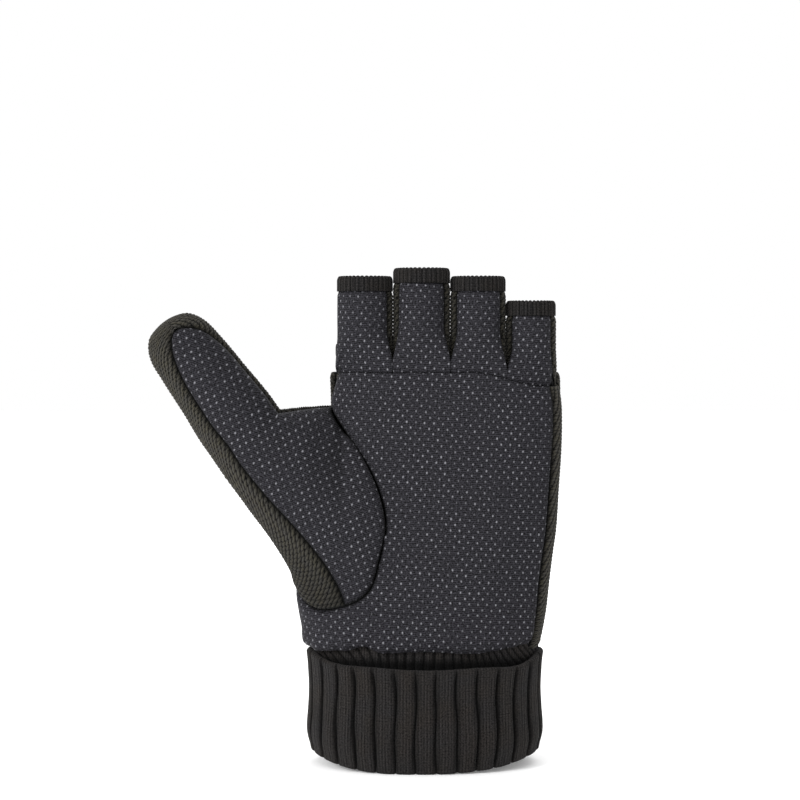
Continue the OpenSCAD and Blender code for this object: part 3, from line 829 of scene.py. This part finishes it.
def finger_point(name, turn, height):
    """A point of a stub: at height 0 on its share of the hand's top edge, and from there a shape that
    turns into a circle a little above the bend. height is in millimetres from the foot."""
    x, r, bend, _, x0, x1 = FINGERS[name]
    corner = (turn - 45) % 360
    side = np.floor(corner / 90)
    part = corner / 90 - side
    foot_x = np.choose(side.astype(int), [x1 + (x0 - x1) * part, x0 + 0 * part, x0 + (x1 - x0) * part,
                                          x1 + 0 * part])
    reach = np.abs((foot_x - centre_x(TOP_Z)) / half_width(TOP_Z))
    depth = half_depth(TOP_Z) * (1 - np.minimum(reach, 0.985) ** HAND_POWER) ** (1 / HAND_POWER)
    across = np.choose(side.astype(int), [-1 + 0 * part, 2 * part - 1, 1 + 0 * part, 1 - 2 * part])
    inner = np.abs(foot_x - centre_x(TOP_Z)) < 36
    foot_z = top_height(foot_x) + np.where(inner & (side % 2 == 1), CROTCH_RISE * (1 - across ** 2), 0)
    foot = np.stack([foot_x, centre_y(TOP_Z) + depth * across, foot_z], -1)
    top = bend + 6
    share = np.clip(height / (top - foot_z), 0, 1)
    angle = np.radians(turn)
    r = r - 0.3
    z = foot_z + share * (top - foot_z) + np.maximum(height - (top - foot_z), 0)
    ring = np.stack([x + r * np.cos(angle), FINGER_Y - r * np.sin(angle), z], -1)
    foot[..., 2] = z
    mix = ease(share)[..., None]
    return foot * (1 - mix) + ring * mix


def stub_grid(name, first, last, rows, columns, end=0.0):
    """Rows of a stub from its foot to the lower edge of its band, or end past that."""
    x, _, bend, length, _, _ = FINGERS[name]
    foot = top_height(np.array(x))
    total = bend + length - BAND_H + end - foot
    t = np.linspace(0, 1, rows)[:, None]
    a = first[0] + (first[1] - first[0]) * ease(t * 2)
    b = last[0] + (last[1] - last[0]) * ease(t * 2)
    turn = a + (b - a) * np.linspace(0, 1, columns)[None]
    low = finger_point(name, turn, 0 * turn)[..., 2]
    height = t * (total - (low - foot))
    return finger_point(name, turn, height + 0 * turn)


def stub_skin(name, part):
    """A stub's grip-fabric front or knitted back, tucked in at its foot and under its band. Both take
    their distance from the same two side seams."""
    left = (222.0, 190.0) if name == "index" else (150.0, 150.0)
    right = (52.0, 30.0) if name == "pinky" else (30.0, 30.0)
    front = stub_grid(name, right, left, 41, 61)
    edges = np.concatenate([front[:, 0], front[:, -1]])
    round_back = (right[0] + 360, right[1] + 360)
    grid = front if part == "front" else stub_grid(name, left, round_back, 129, 161)
    distance = nearness(grid, edges)
    above = grid[..., 2] - grid[:1, :, 2]
    run = along(grid, 1)
    relief = rolled(distance) - 0.5 * bell(grid[..., 2] - grid[-1:, :, 2], 1.0)
    if part == "front":
        cloth_at = np.stack([run - run[:, -1:] / 2, grid[..., 2]], -1)
        relief = relief - 0.6 * bell(above, 1.4) + creases(grid, 0.15)
        material, step = slate_grip_fabric, 4
    else:
        cloth_at = np.stack([run, grid[..., 2]], -1)
        relief = relief - 1.1 * bell(above, 4.0) + knit_relief(cloth_at, 0.3)
        material, step = olive_melange_knit, 16
    # Painted shade along the two side seams.
    return shell(f"{name}_{part}", grid, relief, SHELL_T, cloth_at, material, step=step,
                 painted_shading=seam_shade(distance))


def stub_lining(name):
    """Fleece inside a stub, to just under the top of its band."""
    grid = stub_grid(name, (0, 0), (360, 360), 25, 49, end=BAND_H - 1.2)[:, :-1]
    grid = grid - facing(grid, True) * 1.5
    cloth_at = np.stack(np.broadcast_arrays(np.linspace(0, 64, 49)[None], grid[:, :1, 2]), -1)
    return shell(name + "_lining", grid, 0.0, 1.1, cloth_at, charcoal_fleece, wrapped=True)


def stub_band(name):
    """The rib band round a stub's open end: a ribbed ring whose top edge folds in."""
    x, r, bend, length, _, _ = FINGERS[name]
    turn = np.broadcast_to(np.arange(240)[None] * 1.5, (15, 240))
    z = np.concatenate([np.linspace(0, BAND_H, 10), np.full(5, BAND_H)])[:, None] + bend + length - BAND_H
    over = np.concatenate([np.zeros(10), np.array([0.25, 0.7, 1.2, 1.6, 1.9])])[:, None]
    radius = r - 0.1 - over - 0.35 * bell(over, 0.3) * bell(z - bend - length, 0.5)
    z = z + np.where(over > 0, 0.35 * np.sin(over / 1.9 * np.pi), 0)
    ribs = np.abs(np.sin(np.radians(turn * 18)))
    grid = np.stack([x + radius * np.cos(np.radians(turn)), FINGER_Y - radius * np.sin(np.radians(turn)),
                     z + 0 * turn], -1)
    cloth_at = np.stack(np.broadcast_arrays(np.linspace(0, 2 * np.pi * r, 241)[None], grid[:, :1, 2]), -1)
    # Painted shade: the colour darker between the band's ribs.
    return shell(name + "_band", grid, 0.45 * ribs ** 0.8 - 0.2, 1.3, cloth_at, black_rib_knit,
                 wrapped=True, painted_shading=0.3 + 0.7 * ribs)


def fleece():
    """Brushed charcoal fleece: soft, matt and slightly clumped."""
    material, tree = cloth("charcoal_fleece", 0.95, 0.12)
    place = node(tree, "TexCoord", output="Object")
    clump = node(tree, "TexNoise", {"Vector": place, "Scale": 0.9 * MM_PER_M, "Detail": 4.0})
    dress(tree, graded_colour(tree, clump, "#121212", "#343435", 0.3, 0.8), clump, 0.6, 0.8)
    return material


charcoal_fleece = fleece()
for finger, (middle_x, _, bend, _, _, _) in FINGERS.items():
    for part, made, slot in (("front", stub_skin(finger, "front"), "grip_fabric"),
                             ("back", stub_skin(finger, "back"), "melange_knit"),
                             ("lining", stub_lining(finger), "fleece")):
        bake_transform(made)
        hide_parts(f"{finger}_{part}")
    band = stub_band(finger)
    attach(band, finger)
    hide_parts(f"{finger}_band")

# ---- Linings of the hand and thumb ----
# Charcoal fleece, brushed on the side that the hand touches. It is cut to the same outlines as the outer
# fabric, hung just inside it and caught in its seams.


def hand_lining(name, first, last):
    """Fleece behind one of the hand's two panels."""
    _, grid = hand_grid(first, last, palm_levels[2::2], 60, inset=SHELL_T + 0.45)
    cloth_at = np.stack([along(grid, 1), grid[..., 2]], -1)
    return shell(name, grid, 0.0, 1.0, cloth_at, charcoal_fleece)


def thumb_pocket():
    """Fleece all round the inside of the thumb, from its seam in the palm to the closed tip."""
    w = np.concatenate([np.linspace(0.02, BASE_ROWS, 30)[:-1],
                        BASE_ROWS + (1 - BASE_ROWS) * np.sin(np.linspace(0, np.pi / 2, 30))])[:, None]
    psi = np.arange(0, 360, 6.0)[None] + 0 * w
    grid, _ = thumb_point(psi, w + 0 * psi, np.full(psi.shape, THUMB_LEN + THUMB_TIP))
    grid[:-1] = grid[:-1] - facing(grid, True)[:-1] * (SHELL_T + 0.5)
    grid[-1] = THUMB_BEND + (THUMB_LEN + THUMB_TIP - SHELL_T - 0.5) * THUMB_AXIS
    cloth_at = np.stack(np.broadcast_arrays(np.arange(61)[None] * 1.6, along(grid, 0)[:, :1]), -1)
    made = shell("thumb_lining", grid, 0.0, 1.0, cloth_at, charcoal_fleece, wrapped=True)
    weld(made)
    return made


for panel, first, last in (("palm_lining", OUTER_SEAM, opening_edge),
                           ("back_lining", THUMB_SEAM, 360 + OUTER_SEAM)):
    made = hand_lining(panel, first, last)
    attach(made, "hand")
    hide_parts(panel)
thumb_inside = thumb_pocket()
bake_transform(thumb_inside)
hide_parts("thumb_lining")

# ---- Hood ----
# A mitten end that is sewn across the knuckles and folded back over the hand. It is knitted on the
# side that covers the fingers' backs, has grip fabric on the palm's side, and a ribbed hem.
HINGE = np.array([7.8, 14.6, 144.0])
HOOD_TILT = math.radians(4.3)
HOOD_W, HOOD_MID, HOOD_HALF = 43.2, 6.8, 6.5
HOOD_LONG, HOOD_ROUND = 87.0, 67.0
HOOD_LAP, HOOD_HEM_H = 10.0, 5.2
HEM_END = HOOD_HEM_H + 0.1 - HOOD_LAP
BACK_START, BACK_LINING_START = 0.6, 9.0
HOOD_POWER = 3.5


def hood_point(x, t, q):
    """A point of the folded hood: x across, t down from the knuckle seam, q away from the hand."""
    return HINGE + np.stack(np.broadcast_arrays(
        x, q * math.cos(HOOD_TILT) + t * math.sin(HOOD_TILT),
        q * math.sin(HOOD_TILT) - t * math.cos(HOOD_TILT)), -1)


def hood_grid(first, last, low, rows, columns, inset=0.0):
    """Rows of the hood from t = low to its tip: a flat pocket, rounded at its sides and end. The
    angle runs from 0 at the thumb's far side, past 90 on the outside, to 270 against the hand."""
    full = 1 - inset / HOOD_HALF
    straight = HOOD_LONG - HOOD_ROUND
    turn = np.linspace(math.asin((low - straight) / HOOD_ROUND), np.pi / 2, rows)
    t = (straight + HOOD_ROUND * np.sin(turn))[:, None]
    s = np.clip((t - straight) / HOOD_ROUND, 0, 1)
    width = (HOOD_W - inset) * (1 - s ** 2.2) ** (1 / 2.2)
    depth = HOOD_HALF * full * np.sqrt(1 - s ** 6)
    angle = np.linspace(first, last, columns)[None] + 0 * t
    c, d = np.cos(np.radians(angle)), np.sin(np.radians(angle))
    x = width * np.sign(c) * np.abs(c) ** (2 / HOOD_POWER)
    q = HOOD_MID + depth * np.sign(d) * np.abs(d) ** (2 / HOOD_POWER)
    return hood_point(x, t - inset * s, q), t + 0 * angle, x


def hood_skin(name, first, last, columns, step, material):
    """One outer skin of the hood, rolled in at the seams along its sides and closed at the tip."""
    stitched = material is olive_melange_knit
    low, rows = (BACK_START, 225) if stitched else (HEM_END, 113)
    grid, t, x = hood_grid(first, last, low, rows, columns)
    edge = np.minimum(nearness(grid, grid[:, 0]), nearness(grid, grid[:, -1]))
    across = along(grid, 1)
    cloth_at = np.stack([across - across[:, -1:] / 2, HOOD_LONG - t], -1)
    tip = ease((HOOD_LONG - t) / 3)
    full = 0.3 if stitched else 1.9
    soft = full * bell(x - 4, 26) * bell(t - 40, 27) + 0.35 * np.sin(t / 8 + x / 13) * np.sin(x / 9)
    relief = (rolled(edge, 0.8) + soft) * tip
    if stitched:
        relief = relief + knit_relief(cloth_at, 0.3) * tip
    # Painted shade along the side seams.
    made = shell(name, grid, relief - 0.6 * bell(t - low, 1.0), SHELL_T, cloth_at, material, step=step,
                 painted_shading=seam_shade(edge))
    weld(made)
    return made


def hood_hem():
    """The ribbed hem of the hood's front layer, which lies above the knuckle seam when folded back."""
    t = np.linspace(-HOOD_LAP, HOOD_HEM_H - HOOD_LAP, 22)[:, None]
    angle = np.linspace(20, 160, 481)[None]
    c, d = np.cos(np.radians(angle)), np.sin(np.radians(angle))
    x = HOOD_W * np.sign(c) * np.abs(c) ** (2 / HOOD_POWER)
    q = HOOD_MID + HOOD_HALF * d ** (2 / HOOD_POWER)
    grid = hood_point(x, t, q)
    ribs = np.abs(np.sin(x / 1.5)) ** 0.8
    roll = bell(t + HOOD_LAP, 0.8) + bell(t - HOOD_HEM_H + HOOD_LAP, 0.7)
    cloth_at = np.stack(np.broadcast_arrays(x, t), -1)
    # Painted shade: the colour darker between the hem's ribs.
    return shell("hood_hem", grid, 0.45 * ribs - 0.2 - 0.5 * roll, 2.3, cloth_at, black_rib_knit,
                 painted_shading=0.35 + 0.65 * ribs + 0 * t)


def hood_lining(name, first, last, low):
    """Fleece inside one side of the hood."""
    grid, t, _ = hood_grid(first, last, low, 40, 49, inset=SHELL_T + 0.2)
    cloth_at = np.stack([along(grid, 1), t], -1)
    made = shell(name, grid, 0.0, 0.8, cloth_at, charcoal_fleece)
    weld(made)
    return made


hood_start, hood_end = (tuple(hood_point(0.0, 0.0, q) / MM_PER_M) for q in (1.5, 12.0))
for made, panel, slot in (
        (hood_skin("hood_back", 200, 340, 289, 16, olive_melange_knit), "hood_back_panel", "melange_knit"),
        (hood_skin("hood_side_a", -20, 20, 33, 8, olive_melange_knit), "hood_side_strip", "melange_knit"),
        (hood_skin("hood_side_b", 160, 200, 33, 8, olive_melange_knit), "hood_side_strip", "melange_knit"),
        (hood_skin("hood_front", 20, 160, 97, 4, slate_grip_fabric), "hood_front_panel", "grip_fabric"),
        (hood_hem(), "hood_hem", "rib_knit"),
        (hood_lining("hood_back_lining", 203, 337, BACK_LINING_START), "hood_back_lining", "fleece"),
        (hood_lining("hood_front_lining", 23, 157, HEM_END), "hood_front_lining", "fleece")):
    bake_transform(made)
    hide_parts(panel)

# ---- Loop, button and wrist elastic ----
# The hood's tip has a braided elastic loop that hooks under a four-hole horn button on the back of
# the hand. A flat elastic inside the neck gathers it.
BUTTON = np.array([7.6, 20.7, 50.0])


def tube(name, path, radius, around, material, twist=0.0):
    """A round cord along a path of points, closed at both ends, with a braid's slanted ridges."""
    ahead = np.gradient(path, axis=0)
    ahead /= np.linalg.norm(ahead, axis=1, keepdims=True)
    side = np.cross(ahead, [0, 1.0, 0.001])
    side /= np.linalg.norm(side, axis=1, keepdims=True)
    up = np.cross(side, ahead)
    length = along(path, 0)[:, None]
    a = np.arange(around)[None] * 2 * np.pi / around
    ends = np.sqrt(np.clip(np.minimum(length, length[-1] - length) / radius, 0.02, 1))
    r = radius * ends * (1 + twist * np.sin(4 * a + length * 3.2) * np.sin(4 * a - length * 3.2))
    grid = path[:, None] + (r * np.cos(a))[..., None] * side[:, None] \
        + (r * np.sin(a))[..., None] * up[:, None]
    ids = np.arange(grid.shape[0] * around).reshape(grid.shape[:2])
    ids = np.hstack([ids, ids[:, :1]])
    round_it = np.arange(around + 1)[None] * 2 * np.pi * radius / around
    cloth_at = np.stack(np.broadcast_arrays(round_it, length), -1)
    faces, corners = grid_faces(ids, cloth_at, True)
    faces += [ids[0, :-1].tolist(), ids[-1, :-1][::-1].tolist()]
    corners = np.concatenate([corners, cloth_at[0, :-1], cloth_at[-1, :-1][::-1]])
    return piece(name, grid.reshape(-1, 3), faces, corners, material)


def plain(name, low, high, roughness, scale, depth):
    """A material with two close shades mixed by noise of a scale per millimetre, and a relief of a
    depth in millimetres."""
    material, tree = cloth(name, roughness, 0.0)
    place = node(tree, "TexCoord", output="Object")
    mottle = node(tree, "TexNoise", {"Vector": place, "Scale": scale * MM_PER_M, "Detail": 3.0})
    dress(tree, graded_colour(tree, mottle, low, high, 0.35, 0.65), mottle, depth, 0.6)
    return material


black_elastic = plain("black_braided_elastic", "#0d0d0d", "#262626", 0.8, 2.5, 0.15)
brown_horn = plain("dark_horn", "#1a120d", "#3b2a1e", 0.35, 0.16, 0.02)
black_thread = plain("black_sewing_thread", "#0c0c0c", "#232323", 0.7, 4.0, 0.1)
turn = np.linspace(0, np.pi, 40)
arc = np.stack([3.3 * np.cos(turn), 0 * turn, -3.3 * np.sin(turn)], 1)
leg_z = np.linspace(11.5, 0.4, 24)
leg = np.stack([np.full(24, 3.3), 4.2 * ease((leg_z - 6.0) / 6.0), leg_z], 1)
path = np.concatenate([leg, arc, leg[::-1] * [-1, 1, 1]]) + BUTTON + [0, 1.5, 0]
loop = tube("hood_loop", path, 0.9, 24, black_elastic, 0.06)
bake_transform(loop)
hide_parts("hood_loop")

# The knuckle seam: the hood's back edge is overcast to the hand along the line that it turns about.
seam_x = np.linspace(-31, 31, 200)
seam_depth = (1 - np.abs(seam_x / half_width(TOP_Z)) ** HAND_POWER) ** (1 / HAND_POWER)
seam_y = np.minimum(HINGE[1] - 0.2, centre_y(TOP_Z) + half_depth(TOP_Z) * seam_depth + 0.7)
seam_path = np.stack([HINGE[0] + seam_x, seam_y, HINGE[2] + 0 * seam_x], 1)
seam = tube("knuckle_seam", seam_path, 1.25, 16, black_thread, 0.12)
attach(seam, "hand")

# The elastic: a thin flat ring against the inside of the neck, slightly rippled where it is stretched.
level = np.linspace(42.2, 45.8, 12)[:, None]
phi, length = even_angles(38.6, 16.8, CUFF_POWER, 240)
ring_x, ring_y = oval(phi[None], 38.4 + 0 * level, 16.6 + 0 * level, CUFF_POWER)
ring_grid = np.stack([ring_x, ring_y, level + 0 * ring_x], -1)
ripple = 0.12 * np.sin(np.arange(240) * 2 * np.pi / 6)[None] - 0.2 * bell(level - 42.2, 0.4) \
    - 0.2 * bell(level - 45.8, 0.4)
ring_at = np.stack(np.broadcast_arrays(np.arange(241)[None] / 240 * length, level), -1)
elastic = shell("wrist_elastic", ring_grid, ripple, 0.7, ring_at, black_elastic, wrapped=True)
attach(elastic, "hand")
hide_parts("wrist_elastic")

# The button is turned from horn and is sewn on through its four holes with a wrapped thread shank.
for part, material, slot in (("button", brown_horn, "horn_button"),
                             ("button_thread", black_thread, "sewing_thread")):
    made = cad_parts[part]
    made.data.materials.clear()
    made.data.materials.append(material)
